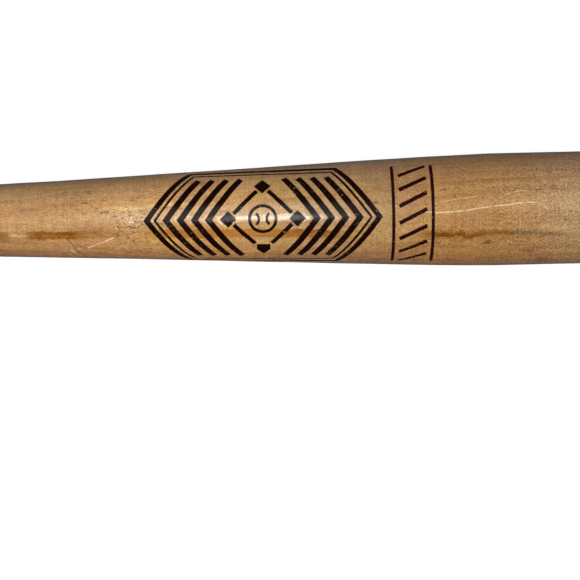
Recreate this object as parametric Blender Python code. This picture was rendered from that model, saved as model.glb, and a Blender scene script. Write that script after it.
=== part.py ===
"""Wooden baseball bat, turned in one piece, with foil marks pressed into its upper face.

Metres, +Z up. The bat lies along +X: the knob's flat end is at x = 0, the axis of the bat is
the X axis, and the marks face +Z. A place along the bat is s, its distance from the knob's end.
The marks are drawn flat first: u runs along the bat and v round it, both from the middle of the
main mark, and the drawing is then laid on the turned surface.
"""

import math
from functools import partial

import bmesh
import bpy
from mathutils import Vector

# Knob: a flat end, a rounded edge, a short straight rim, and a rounded back that sweeps into the handle
KNOB_RADIUS = 0.0236
KNOB_FACE_RADIUS = 0.0140
KNOB_EDGE_LENGTH = 0.0095
KNOB_RIM_LENGTH = 0.0020
KNOB_BACK_ROUND = 0.0060
KNOB_FILLET = 0.0140

# Handle: thinnest at its far end, where the swell to the barrel begins
HANDLE_LENGTH = 0.0706
HANDLE_KNOB_RADIUS = 0.0127
HANDLE_THIN_RADIUS = 0.01225

# Swell from handle to barrel: a cubic curve that leaves both ends level
TAPER_LENGTH = 0.4309
TAPER_HANDLE_PULL = 0.1814
TAPER_BARREL_PULL = 0.0608

# Barrel: straight, then slightly smaller towards a rounded end with a small flat
BARREL_RADIUS = 0.0254
BARREL_STRAIGHT_LENGTH = 0.1100
BARREL_FALL_LENGTH = 0.1082
BARREL_TIP_RADIUS = 0.0250
END_ROUND_LENGTH = 0.0130
END_FACE_RADIUS = 0.0080

# Foil: each piece lies in a pressed seat, a little below the wood
FOIL_THICKNESS = 0.00015
FOIL_BELOW_WOOD = 0.00010
SEAT_CLEARANCE = 0.00010
SEAT_CUT_ABOVE = 0.00100

# Main mark: a long six-sided frame of two lines
MARK_BEFORE_BARREL = 0.1118
MARK_LENGTH = 0.1050
MARK_HEIGHT = 0.0540
MARK_POINT_LENGTH = 0.0200
FRAME_LINE = 0.0023
FRAME_SPACE = 0.0012
FRAME_INNER_LINE = 0.0010

# Ball diamond in the middle of the frame: three bases, home plate and the base lines
DIAMOND_MARGIN = 0.0036
BASE_SIDE = 0.0052
HOME_WIDTH = 0.0060
BASE_LINE = 0.0018
BASE_GAP = 0.0009

# Ball inside the diamond: a ring and two seams, whose curve keeps its shape in a ball of any size
BALL_GAP = 0.0034
BALL_LINE = 0.0013
SEAM_LINE = 0.0011
SEAM_GAP = 0.0008
SEAM_CENTRE_OUT = 1.25
SEAM_CURVE = 0.80

# Stitches: arrowheads in a row from each point of the frame towards the diamond
STITCH_COUNT = 4
STITCH_WIDTH = 0.0026
STITCH_MARGIN = 0.0022
STITCH_DIAMOND_GAP = 0.0050

# Band: two lines round the upper face with slanted bars between them, past the mark's point
BAND_MARK_GAP = 0.0040
BAND_LENGTH = 0.0185
BAND_HEIGHT = 0.0520
BAND_LINE = 0.0013
BAND_BAR_COUNT = 7
BAND_BAR = 0.0017
BAND_BAR_GAP = 0.0011
BAND_BAR_SLANT = 0.0060

# Fineness of the meshes. An odd count of sides puts a flat facet under the bat
BILLET_SIDES = 51
EDGE_STEPS = 7
FILLET_STEPS = 8
HANDLE_STEPS = 3
TAPER_STEPS = 16
FALL_STEPS = 3
BALL_STEPS = 24
SEAM_STEPS = 6
ARC_STEP = 0.0028
AXIAL_STEP = 0.0090
SHARP_ANGLE = math.radians(30)

# Places along the bat, each from the one before it
RIM_START = KNOB_EDGE_LENGTH
RIM_END = RIM_START + KNOB_RIM_LENGTH
BACK_CENTRE = Vector((RIM_END, KNOB_RADIUS - KNOB_BACK_ROUND))
FILLET_RISE = HANDLE_KNOB_RADIUS + KNOB_FILLET - BACK_CENTRE.y
FILLET_RUN = math.sqrt((KNOB_BACK_ROUND + KNOB_FILLET) ** 2 - FILLET_RISE**2)
HANDLE_START = RIM_END + FILLET_RUN
TAPER_START = HANDLE_START + HANDLE_LENGTH
TAPER_END = TAPER_START + TAPER_LENGTH
FALL_START = TAPER_END + BARREL_STRAIGHT_LENGTH
FALL_END = FALL_START + BARREL_FALL_LENGTH
BAT_LENGTH = FALL_END + END_ROUND_LENGTH
MARK_MIDDLE = TAPER_END - MARK_BEFORE_BARREL

# Slope of the frame's pointed ends, and what the two lines of the frame take off inside it
POINT_SLOPE = MARK_POINT_LENGTH / (MARK_HEIGHT / 2)
FRAME_DEPTH = FRAME_LINE + FRAME_SPACE + FRAME_INNER_LINE
DIAMOND_REACH = MARK_HEIGHT / 2 - FRAME_DEPTH - DIAMOND_MARGIN
BASE_OUT = DIAMOND_REACH - BASE_SIDE / math.sqrt(2)
BALL_RADIUS = BASE_OUT / math.sqrt(2) - BASE_LINE / 2 - BALL_GAP

# Colours as linear RGB, with roughness and metallic value
WOOD = ("lacquered_wood", (0.49, 0.28, 0.112), 0.38, 0.0)
BLACK_FOIL = ("black_foil", (0.017, 0.008, 0.006), 0.42, 0.0)
MAROON_FOIL = ("maroon_foil", (0.045, 0.010, 0.017), 0.42, 0.0)


def clear_scene():
    """Remove everything that the opened file holds."""
    for thing in list(bpy.data.objects):
        bpy.data.objects.remove(thing, do_unlink=True)


def make_material(name, colour, roughness, metallic):
    """A plain Principled material."""
    material = bpy.data.materials.new(name)
    material.use_nodes = True
    shader = material.node_tree.nodes["Principled BSDF"]
    shader.inputs["Base Color"].default_value = (*colour, 1.0)
    shader.inputs["Roughness"].default_value = roughness
    shader.inputs["Metallic"].default_value = metallic
    material.diffuse_color = (*colour, 1.0)
    return material


def add_object(name, mesh, material):
    """An object of the scene, in its own material."""
    thing = bpy.data.objects.new(name, mesh)
    bpy.context.scene.collection.objects.link(thing)
    if material:
        mesh.materials.append(material)
    return thing


def mesh_of(name, bm):
    """The mesh that a bmesh holds, with its faces turned outwards."""
    bmesh.ops.recalc_face_normals(bm, faces=bm.faces)
    mesh = bpy.data.meshes.new(name)
    bm.to_mesh(mesh)
    bm.free()
    return mesh


# Turned outline


def eased(first, last, t):
    """From first to last as t goes from 0 to 1, level at both ends."""
    return first + (last - first) * (1 - math.cos(math.pi * t)) / 2


def cubic(points, t):
    """A cubic Bezier's value at t, from its four control values."""
    a, b, c, d = points
    rest = 1 - t
    return rest**3 * a + 3 * rest**2 * t * b + 3 * rest * t**2 * c + t**3 * d


def taper_point(t):
    """(s, radius) on the swell from the handle to the barrel."""
    pulled = (TAPER_START, TAPER_START + TAPER_HANDLE_PULL, TAPER_END - TAPER_BARREL_PULL, TAPER_END)
    radii = (HANDLE_THIN_RADIUS, HANDLE_THIN_RADIUS, BARREL_RADIUS, BARREL_RADIUS)
    return cubic(pulled, t), cubic(radii, t)


def radius_at(s):
    """The wood's radius between the knob's fillet and the rounded end."""
    if s <= TAPER_START:
        return eased(HANDLE_KNOB_RADIUS, HANDLE_THIN_RADIUS, (s - HANDLE_START) / HANDLE_LENGTH)
    if s >= FALL_START:
        return eased(BARREL_RADIUS, BARREL_TIP_RADIUS, (s - FALL_START) / BARREL_FALL_LENGTH)
    if s >= TAPER_END:
        return BARREL_RADIUS
    low, high = 0.0, 1.0
    for _ in range(40):
        middle = (low + high) / 2
        if taper_point(middle)[0] < s:
            low = middle
        else:
            high = middle
    return taper_point(low)[1]


def arc(centre, radii, start, stop, steps):
    """Points of an elliptical arc between two angles in radians, ends included."""
    angles = [start + (stop - start) * i / steps for i in range(steps + 1)]
    return [(centre[0] + radii[0] * math.cos(a), centre[1] + radii[1] * math.sin(a)) for a in angles]


def knob_outline():
    """(s, radius) from the axis over the knob to the start of the handle."""
    edge_centre = (KNOB_EDGE_LENGTH, KNOB_FACE_RADIUS)
    edge_radii = (KNOB_EDGE_LENGTH, KNOB_RADIUS - KNOB_FACE_RADIUS)
    edge = arc(edge_centre, edge_radii, math.pi, math.pi / 2, EDGE_STEPS)
    meeting = math.atan2(FILLET_RISE, FILLET_RUN)
    back_radii = (KNOB_BACK_ROUND, KNOB_BACK_ROUND)
    back = arc(BACK_CENTRE, back_radii, math.pi / 2, meeting, EDGE_STEPS)
    fillet_centre = (HANDLE_START, HANDLE_KNOB_RADIUS + KNOB_FILLET)
    fillet_radii = (KNOB_FILLET, KNOB_FILLET)
    fillet = arc(fillet_centre, fillet_radii, math.pi + meeting, 1.5 * math.pi, FILLET_STEPS)
    return [(0.0, 0.0), *edge, *back, *fillet[1:]]


def body_outline():
    """(s, radius) from the handle to the start of the rounded end."""
    handle = [HANDLE_START + HANDLE_LENGTH * i / HANDLE_STEPS for i in range(1, HANDLE_STEPS)]
    taper = [taper_point(i / TAPER_STEPS) for i in range(TAPER_STEPS + 1)]
    fall = [FALL_START + BARREL_FALL_LENGTH * i / FALL_STEPS for i in range(FALL_STEPS)]
    return [(s, radius_at(s)) for s in handle] + taper + [(s, radius_at(s)) for s in fall]


def end_outline():
    """(s, radius) over the rounded end to the axis."""
    centre = (FALL_END, END_FACE_RADIUS)
    radii = (END_ROUND_LENGTH, BARREL_TIP_RADIUS - END_FACE_RADIUS)
    return [*arc(centre, radii, math.pi / 2, 0.0, EDGE_STEPS), (BAT_LENGTH, 0.0)]


def add_billet(material):
    """The whole bat in wood, spun from its outline, which hangs down -Z and is then laid along +X."""
    outline = knob_outline() + body_outline() + end_outline()
    bm = bmesh.new()
    points = [bm.verts.new((radius, 0.0, -s)) for s, radius in outline]
    for here, after in zip(points, points[1:]):
        bm.edges.new((here, after))
    mesh = bpy.data.meshes.new("billet")
    bm.to_mesh(mesh)
    bm.free()
    billet = add_object("billet", mesh, material)
    billet.rotation_euler.y = -math.pi / 2
    turn = billet.modifiers.new("turned", "SCREW")
    turn.axis = "Z"
    turn.steps = BILLET_SIDES
    turn.render_steps = BILLET_SIDES
    turn.use_merge_vertices = True
    turn.merge_threshold = 0.00001
    turn.use_smooth_shade = True
    return billet


# Flat drawing of the marks. A strip is a list of pairs of points, one on each of its two sides


def strip(points, width, grow):
    """An open strip along points with mitred corners, made larger all round by grow."""
    ways = [(b - a).normalized() for a, b in zip(points, points[1:])]
    pairs = []
    for i, point in enumerate(points):
        before = ways[max(i - 1, 0)]
        after = ways[min(i, len(ways) - 1)]
        mitre = Vector((-before.y - after.y, before.x + after.x)) / (1 + before.dot(after))
        if i == 0:
            point = point - after * grow
        elif i == len(points) - 1:
            point = point + before * grow
        side = mitre * (width / 2 + grow)
        pairs.append((point + side, point - side))
    return pairs


def hexagon(inset):
    """Corners of the frame's six-sided outline, moved in by inset."""
    half_height = MARK_HEIGHT / 2 - inset
    point = MARK_LENGTH / 2 - inset * math.hypot(1, POINT_SLOPE)
    shoulder = point - POINT_SLOPE * half_height
    right = [(shoulder, -half_height), (point, 0.0), (shoulder, half_height)]
    return [Vector(corner) for corner in right + [(-u, -v) for u, v in right]]


def frame_line(inset, width, grow):
    """A closed line of the frame, whose outer side lies inset inside the mark's outline."""
    return list(zip(hexagon(inset - grow), hexagon(inset + width + grow)))


def ball_line(grow):
    """The closed round line of the ball."""
    outer = BALL_RADIUS + grow
    inner = BALL_RADIUS - BALL_LINE - grow
    turns = [2 * math.pi * i / BALL_STEPS for i in range(BALL_STEPS)]
    ways = [Vector((math.cos(turn), math.sin(turn))) for turn in turns]
    return [(way * outer, way * inner) for way in ways]


def seam_points(way):
    """Middle of a seam of the ball, bowed towards the ball's middle from the side that way points to."""
    reach = BALL_RADIUS - BALL_LINE - SEAM_GAP - SEAM_LINE / 2
    out, curve = SEAM_CENTRE_OUT, SEAM_CURVE
    half_turn = math.acos((out**2 + curve**2 - 1) / (2 * out * curve))
    turns = [half_turn * (2 * i / SEAM_STEPS - 1) for i in range(SEAM_STEPS + 1)]
    return [Vector((way * (out - curve * math.cos(a)), curve * math.sin(a))) * reach for a in turns]


def home_plate(middle, grow):
    """Five-sided home plate with its point towards -v."""
    half = HOME_WIDTH / 2
    side = half + grow
    corner = grow - grow * math.sqrt(2)
    tip = -half - grow * math.sqrt(2)
    low = [(-side, corner), (0.0, tip), (side, corner)]
    return [(middle + Vector((u, side)), middle + Vector((u, v))) for u, v in low]


def frame_foils():
    """The two lines of the frame: (name, foil, closed, drawing for a given growth)."""
    return [
        ("frame_outer", BLACK_FOIL, True, partial(frame_line, 0.0, FRAME_LINE)),
        ("frame_inner", BLACK_FOIL, True, partial(frame_line, FRAME_LINE + FRAME_SPACE, FRAME_INNER_LINE)),
    ]


def diamond_foils():
    """The ball diamond, with home plate at the bottom and the other bases round it."""
    square_reach = BASE_SIDE / 2
    home_reach = HOME_WIDTH / math.sqrt(2)
    bases = [
        ("home", Vector((0.0, -BASE_OUT)), home_reach),
        ("first", Vector((BASE_OUT, 0.0)), square_reach),
        ("second", Vector((0.0, BASE_OUT)), square_reach),
        ("third", Vector((-BASE_OUT, 0.0)), square_reach),
    ]
    foils = [("base_home", BLACK_FOIL, False, partial(home_plate, bases[0][1]))]
    slant = Vector((1, 1)).normalized() * square_reach
    for name, middle, _ in bases[1:]:
        square = [middle - slant, middle + slant]
        foils.append((f"base_{name}", BLACK_FOIL, False, partial(strip, square, BASE_SIDE)))
    for (name, start, start_reach), (after, stop, stop_reach) in zip(bases, bases[1:] + bases[:1]):
        way = (stop - start).normalized()
        line = [start + way * (start_reach + BASE_GAP), stop - way * (stop_reach + BASE_GAP)]
        foils.append((f"base_line_{name}_{after}", BLACK_FOIL, False, partial(strip, line, BASE_LINE)))
    return foils


def ball_foils():
    """The ball: its round line and two seams."""
    return [
        ("ball_ring", BLACK_FOIL, True, ball_line),
        ("ball_seam_left", BLACK_FOIL, False, partial(strip, seam_points(-1), SEAM_LINE)),
        ("ball_seam_right", BLACK_FOIL, False, partial(strip, seam_points(1), SEAM_LINE)),
    ]


def stitch_foils():
    """Arrowheads parallel to the frame's pointed ends, from each point in towards the diamond."""
    inset = FRAME_DEPTH + STITCH_MARGIN
    first = hexagon(inset + STITCH_WIDTH / 2)[1].x
    end_rise = STITCH_WIDTH / 2 * POINT_SLOPE / math.hypot(1, POINT_SLOPE)
    reach = MARK_HEIGHT / 2 - inset - end_rise
    pitch = (first - DIAMOND_REACH - STITCH_DIAMOND_GAP) / (STITCH_COUNT - 1)
    foils = []
    for side, way in (("left", -1), ("right", 1)):
        for i in range(STITCH_COUNT):
            point = first - pitch * i
            tail = point - POINT_SLOPE * reach
            corners = [Vector((way * u, v)) for u, v in ((tail, reach), (point, 0.0), (tail, -reach))]
            name = f"stitch_{side}_{i + 1}"
            foils.append((name, BLACK_FOIL, False, partial(strip, corners, STITCH_WIDTH)))
    return foils


def band_foils():
    """Two lines round the face and the slanted bars between them."""
    near = MARK_LENGTH / 2 + BAND_MARK_GAP + BAND_LINE / 2
    far = near + BAND_LENGTH - BAND_LINE
    foils = []
    for name, u in (("near", near), ("far", far)):
        line = [Vector((u, BAND_HEIGHT / 2)), Vector((u, -BAND_HEIGHT / 2))]
        foils.append((f"band_line_{name}", MAROON_FOIL, False, partial(strip, line, BAND_LINE)))
    bar_end = BAND_LINE / 2 + BAND_BAR_GAP + BAND_BAR / 2
    left, right = near + bar_end, far - bar_end
    pitch = (BAND_HEIGHT - BAND_BAR_SLANT - BAND_BAR) / (BAND_BAR_COUNT - 1)
    for i in range(BAND_BAR_COUNT):
        v = pitch * ((BAND_BAR_COUNT - 1) / 2 - i)
        bar = [Vector((left, v - BAND_BAR_SLANT / 2)), Vector((right, v + BAND_BAR_SLANT / 2))]
        foils.append((f"band_bar_{i + 1}", MAROON_FOIL, False, partial(strip, bar, BAND_BAR)))
    return foils


# Laying the drawing on the wood


def steps_between(a, b):
    """How many steps a straight line of the drawing needs to follow the round wood."""
    return max(1, math.ceil(abs(b.y - a.y) / ARC_STEP), math.ceil(abs(b.x - a.x) / AXIAL_STEP))


def fine_grid(pairs, closed):
    """A strip's pairs of points as rows of a grid fine enough to bend round the wood."""
    across = max(steps_between(left, right) for left, right in pairs)
    following = pairs[1:] + pairs[:1] if closed else pairs[1:]
    rails = []
    for (left, right), (next_left, next_right) in zip(pairs, following):
        steps = max(steps_between(left, next_left), steps_between(right, next_right))
        for i in range(steps):
            rails.append((left.lerp(next_left, i / steps), right.lerp(next_right, i / steps)))
    if not closed:
        rails.append(pairs[-1])
    return [[left.lerp(right, j / across) for j in range(across + 1)] for left, right in rails]


def on_wood(point, lift):
    """A point of the drawing laid on the wood, lifted off it by lift."""
    s = MARK_MIDDLE + point.x
    radius = radius_at(s)
    angle = point.y / radius
    return (s, (radius + lift) * math.sin(angle), (radius + lift) * math.cos(angle))


def add_plate(bm, grid, closed, low, high):
    """A thin closed solid over a grid of the drawing, between two heights over the wood."""
    bottom = [[bm.verts.new(on_wood(point, low)) for point in row] for row in grid]
    top = [[bm.verts.new(on_wood(point, high)) for point in row] for row in grid]
    last = len(grid[0]) - 1
    rows = list(range(len(grid)))
    following = rows[1:] + rows[:1] if closed else rows[1:]
    for i, k in zip(rows, following):
        for j in range(last):
            bm.faces.new((top[i][j], top[k][j], top[k][j + 1], top[i][j + 1]))
            bm.faces.new((bottom[i][j], bottom[i][j + 1], bottom[k][j + 1], bottom[k][j]))
        for j in (0, last):
            bm.faces.new((bottom[i][j], bottom[k][j], top[k][j], top[i][j]))
    if not closed:
        for i in (0, len(grid) - 1):
            for j in range(last):
                bm.faces.new((bottom[i][j], bottom[i][j + 1], top[i][j + 1], top[i][j]))


def add_foil(name, material, closed, drawing):
    """One piece of foil, as it lies in its seat."""
    bm = bmesh.new()
    top = -FOIL_BELOW_WOOD
    add_plate(bm, fine_grid(drawing(0.0), closed), closed, top - FOIL_THICKNESS, top)
    bmesh.ops.triangulate(bm, faces=bm.faces)
    mesh = mesh_of(name, bm)
    mesh.shade_smooth()
    mesh.set_sharp_from_angle(angle=SHARP_ANGLE)
    return add_object(name, mesh, material)


def press_seats(billet, foils):
    """Press a seat into the wood for each piece of foil, larger than it by the clearance."""
    floor = -(FOIL_BELOW_WOOD + FOIL_THICKNESS + SEAT_CLEARANCE)
    bm = bmesh.new()
    for _, _, closed, drawing in foils:
        add_plate(bm, fine_grid(drawing(SEAT_CLEARANCE), closed), closed, floor, SEAT_CUT_ABOVE)
    bmesh.ops.triangulate(bm, faces=bm.faces)
    cutter = add_object("seat_cutter", mesh_of("seat_cutter", bm), None)
    cutter.hide_render = True
    cutter.display_type = "WIRE"
    cut = billet.modifiers.new("pressed_seats", "BOOLEAN")
    cut.operation = "DIFFERENCE"
    cut.solver = "EXACT"
    cut.object = cutter


def main():
    clear_scene()
    billet = add_billet(make_material(*WOOD))
    foils = frame_foils() + diamond_foils() + ball_foils() + stitch_foils() + band_foils()
    press_seats(billet, foils)
    for name, foil, closed, drawing in foils:
        add_foil(name, make_material(f"{foil[0]}_{name}", *foil[1:]), closed, drawing)


main()
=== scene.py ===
"""Looks of a wooden baseball bat: lacquered wood with hot-pressed foil marks, on a plain pale floor.

Metres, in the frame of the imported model: the bat lies along +X with its knob's end at x = 0, and its
marks face +Z. A place along the bat is s, its distance from the knob's end. A turn is the angle round
the bat from +Z towards +Y. The marks are drawn flat, with u along the bat and v round it.
"""

import math
from functools import partial, partialmethod

import bpy
import numpy as np
from mathutils import Matrix, Vector
from mathutils.geometry import delaunay_2d_cdt


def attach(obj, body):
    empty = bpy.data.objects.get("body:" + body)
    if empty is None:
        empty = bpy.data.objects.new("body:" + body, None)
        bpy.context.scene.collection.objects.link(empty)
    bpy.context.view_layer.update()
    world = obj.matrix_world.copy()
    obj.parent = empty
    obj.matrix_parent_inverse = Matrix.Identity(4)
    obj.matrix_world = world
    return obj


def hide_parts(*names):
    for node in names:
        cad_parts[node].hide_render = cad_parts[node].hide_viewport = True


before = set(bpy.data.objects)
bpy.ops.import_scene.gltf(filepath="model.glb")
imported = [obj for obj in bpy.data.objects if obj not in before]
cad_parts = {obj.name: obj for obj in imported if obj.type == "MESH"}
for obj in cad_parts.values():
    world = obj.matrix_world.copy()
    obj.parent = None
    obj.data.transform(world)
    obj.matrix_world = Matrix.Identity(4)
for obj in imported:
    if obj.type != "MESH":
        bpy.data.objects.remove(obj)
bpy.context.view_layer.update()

# Turned outline, with the sizes of the solids
KNOB_RADIUS = 0.0236
KNOB_FACE_RADIUS = 0.014
KNOB_EDGE_LENGTH = 0.0095
KNOB_RIM_LENGTH = 0.002
KNOB_BACK_ROUND = 0.006
KNOB_FILLET = 0.014
HANDLE_LENGTH = 0.0706
HANDLE_KNOB_RADIUS = 0.0127
HANDLE_THIN_RADIUS = 0.01225
TAPER_LENGTH = 0.4309
TAPER_HANDLE_PULL = 0.1814
TAPER_BARREL_PULL = 0.0608
BARREL_RADIUS = 0.0254
BARREL_STRAIGHT_LENGTH = 0.11
BARREL_FALL_LENGTH = 0.1082
BARREL_TIP_RADIUS = 0.025
END_ROUND_LENGTH = 0.013
END_FACE_RADIUS = 0.008

# Marks and foil, with the sizes of the solids
FOIL_THICKNESS = 0.00015
FOIL_BELOW_WOOD = 0.0001
SEAT_CLEARANCE = 0.0001
MARK_BEFORE_BARREL = 0.1118
MARK_LENGTH = 0.105
MARK_HEIGHT = 0.054
MARK_POINT_LENGTH = 0.02
FRAME_LINE = 0.0023
FRAME_SPACE = 0.0012
FRAME_INNER_LINE = 0.001
DIAMOND_MARGIN = 0.0036
BASE_SIDE = 0.0052
HOME_WIDTH = 0.006
BASE_LINE = 0.0018
BASE_GAP = 0.0009
BALL_GAP = 0.0034
BALL_LINE = 0.0013
SEAM_LINE = 0.0011
SEAM_GAP = 0.0008
SEAM_CENTRE_OUT = 1.25
SEAM_CURVE = 0.8
STITCH_COUNT = 4
STITCH_WIDTH = 0.0026
STITCH_MARGIN = 0.0022
STITCH_DIAMOND_GAP = 0.005
BAND_MARK_GAP = 0.004
BAND_LENGTH = 0.0185
BAND_HEIGHT = 0.052
BAND_LINE = 0.0013
BAND_BAR_COUNT = 7
BAND_BAR = 0.0017
BAND_BAR_GAP = 0.0011
BAND_BAR_SLANT = 0.006

# Places along the bat
RIM_END = KNOB_EDGE_LENGTH + KNOB_RIM_LENGTH
BACK_CENTRE = Vector((RIM_END, KNOB_RADIUS - KNOB_BACK_ROUND))
FILLET_RISE = HANDLE_KNOB_RADIUS + KNOB_FILLET - BACK_CENTRE.y
FILLET_RUN = math.sqrt((KNOB_BACK_ROUND + KNOB_FILLET) ** 2 - FILLET_RISE**2)
HANDLE_START = RIM_END + FILLET_RUN
TAPER_START = HANDLE_START + HANDLE_LENGTH
TAPER_END = TAPER_START + TAPER_LENGTH
FALL_START = TAPER_END + BARREL_STRAIGHT_LENGTH
FALL_END = FALL_START + BARREL_FALL_LENGTH
BAT_LENGTH = FALL_END + END_ROUND_LENGTH
MARK_MIDDLE = TAPER_END - MARK_BEFORE_BARREL
POINT_SLOPE = MARK_POINT_LENGTH / (MARK_HEIGHT / 2)
FRAME_DEPTH = FRAME_LINE + FRAME_SPACE + FRAME_INNER_LINE
DIAMOND_REACH = MARK_HEIGHT / 2 - FRAME_DEPTH - DIAMOND_MARGIN
BASE_OUT = DIAMOND_REACH - BASE_SIDE / math.sqrt(2)
BALL_RADIUS = BASE_OUT / math.sqrt(2) - BASE_LINE / 2 - BALL_GAP

# Lathe centre marks in the two ends
CENTRE_MARK_RADIUS = 0.0013
CENTRE_MARK_DEPTH = 0.0007

# Fineness of the visual meshes
SIDES = 120
RING_STEP = 0.0016
PATCH_STEP = 0.0013
PATCH_START = 0.322
PATCH_END = 0.553
PATCH_TURN = math.radians(99)
LINE_STEP = 0.0008
CLEAR_OF_LINES = 0.00055
RIM_WIDTH = 0.0003
RIM_DROP = 0.000012
SEAT_DEPTH = FOIL_BELOW_WOOD + FOIL_THICKNESS + SEAT_CLEARANCE
SHARP_ANGLE = math.radians(30)
EDGE_STEPS = 22
BACK_STEPS = 16
FILLET_STEPS = 20
END_STEPS = 24
KNOB_FACE_RINGS = (CENTRE_MARK_RADIUS, 0.004, 0.0075, 0.011)
END_FACE_RINGS = (0.0055, 0.0032, CENTRE_MARK_RADIUS)
BALL_SIDES = 48
SEAM_STEPS = 12
MERGE_MILLIMETRES = 1e-5
TINY = 1e-6
BAKE_MARGIN = 0.005

# The photograph's frame in pixels, and how the bat lies in it
IMAGE_SIZE = 580
IMAGE_MIDDLE = IMAGE_SIZE / 2
PIXELS_PER_METRE = 2204.7
AXIS_AT_MIDDLE = 214.03
MIDDLE_S = 0.431
ROLL = math.radians(1.3)
CAMERA_DISTANCE = 0.6
CAMERA_TURN = math.radians(5)
SENSOR_WIDTH = 36
FOCAL_PIXELS = PIXELS_PER_METRE * CAMERA_DISTANCE
SEARCH_ROUNDS = 8

# Right, up and backward directions of the camera, and its place
DROP = (IMAGE_MIDDLE - AXIS_AT_MIDDLE) / PIXELS_PER_METRE
TILT = CAMERA_TURN + math.atan(DROP / CAMERA_DISTANCE)
ALONG = Vector((1, 0, 0))
LEVEL_UP = Vector((0, math.cos(TILT), -math.sin(TILT)))
BACK = Vector((0, math.sin(TILT), math.cos(TILT)))
UP = LEVEL_UP * math.cos(ROLL) + ALONG * math.sin(ROLL)
RIGHT = ALONG * math.cos(ROLL) - LEVEL_UP * math.sin(ROLL)
CAMERA_PLACE = ALONG * MIDDLE_S + BACK * CAMERA_DISTANCE - UP * DROP


def add_object(name, data, place=(0, 0, 0), axes=((1, 0, 0), (0, 1, 0), (0, 0, 1))):
    """A new object of the scene at a place, with its own X, Y and Z along the axes."""
    added = bpy.data.objects.new(name, data)
    added.matrix_world = Matrix.Translation(place) @ Matrix(axes).transposed().to_4x4()
    bpy.context.scene.collection.objects.link(added)
    return added


def add_camera():
    data = bpy.data.cameras.new("camera")
    data.sensor_width = SENSOR_WIDTH
    data.lens = FOCAL_PIXELS * SENSOR_WIDTH / IMAGE_SIZE
    bpy.context.scene.camera = add_object("camera", data, CAMERA_PLACE, (RIGHT, UP, BACK))


# Turned outline


def eased(first, last, t):
    """From first to last as t goes from 0 to 1, level at both ends."""
    return first + (last - first) * (1 - np.cos(np.pi * np.clip(t, 0, 1))) / 2


def cubic(points, t):
    a, b, c, d = points
    rest = 1 - t
    return rest**3 * a + 3 * rest**2 * t * b + 3 * rest * t**2 * c + t**3 * d


SWELL_T = np.linspace(0, 1, 4001)
SWELL_PULLS = (TAPER_START, TAPER_START + TAPER_HANDLE_PULL, TAPER_END - TAPER_BARREL_PULL, TAPER_END)
SWELL_S = cubic(SWELL_PULLS, SWELL_T)
SWELL_RADIUS = cubic((HANDLE_THIN_RADIUS, HANDLE_THIN_RADIUS, BARREL_RADIUS, BARREL_RADIUS), SWELL_T)


def radius_at(s):
    """The wood's radius between the knob's fillet and the rounded end, for one place or many."""
    handle = eased(HANDLE_KNOB_RADIUS, HANDLE_THIN_RADIUS, (s - HANDLE_START) / HANDLE_LENGTH)
    swell = np.interp(s, SWELL_S, SWELL_RADIUS)
    fall = eased(BARREL_RADIUS, BARREL_TIP_RADIUS, (s - FALL_START) / BARREL_FALL_LENGTH)
    return np.where(s <= TAPER_START, handle, np.where(s >= FALL_START, fall, swell))


def arc(centre, radii, start, stop, steps):
    angles = np.linspace(start, stop, steps + 1)
    return list(zip(centre[0] + radii[0] * np.cos(angles), centre[1] + radii[1] * np.sin(angles)))


def stretch(start, stop, step):
    """Places from start to stop, both included, about a step apart."""
    return list(np.linspace(start, stop, max(2, round((stop - start) / step) + 1)))


def outline():
    """(s, radius) of each ring from the axis at the knob's end to the axis at the barrel's end."""
    edge_centre = (KNOB_EDGE_LENGTH, KNOB_FACE_RADIUS)
    edge_radii = (KNOB_EDGE_LENGTH, KNOB_RADIUS - KNOB_FACE_RADIUS)
    meeting = math.atan2(FILLET_RISE, FILLET_RUN)
    fillet_centre = (HANDLE_START, HANDLE_KNOB_RADIUS + KNOB_FILLET)
    end_radii = (END_ROUND_LENGTH, BARREL_TIP_RADIUS - END_FACE_RADIUS)
    rings = [(CENTRE_MARK_DEPTH, 0)] + [(0, r) for r in KNOB_FACE_RINGS]
    rings += arc(edge_centre, edge_radii, math.pi, math.pi / 2, EDGE_STEPS)
    rings += arc(BACK_CENTRE, (KNOB_BACK_ROUND,) * 2, math.pi / 2, meeting, BACK_STEPS)[:-1]
    rings += arc(fillet_centre, (KNOB_FILLET,) * 2, math.pi + meeting, 1.5 * math.pi, FILLET_STEPS)
    body = stretch(HANDLE_START, PATCH_START, RING_STEP)[1:]
    body += stretch(PATCH_START, PATCH_END, PATCH_STEP)[1:]
    body += stretch(PATCH_END, FALL_END, RING_STEP)[1:-1]
    rings += [(s, float(radius_at(s))) for s in body]
    rings += arc((FALL_END, END_FACE_RADIUS), end_radii, math.pi / 2, 0, END_STEPS)
    rings += [(BAT_LENGTH, r) for r in END_FACE_RINGS]
    return rings + [(BAT_LENGTH - CENTRE_MARK_DEPTH, 0)]


# Unevenness of the wood


RNG = np.random.default_rng(11)


def waves(count, cycles, lobes, height):
    """Random smooth waves over the turned surface: (cycles a metre, lobes round it, phase, height)."""
    found = []
    for _ in range(count):
        wave = (RNG.uniform(*cycles), int(RNG.integers(*lobes)), RNG.uniform(0, 2 * np.pi))
        found.append((*wave, height * RNG.uniform(0.5, 1)))
    return found


def dents(count, *ranges):
    """Random dents: a number from each range, for s, turn, half length, half width and depth."""
    return [[RNG.uniform(*limits) for limits in ranges] for _ in range(count)]


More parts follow.
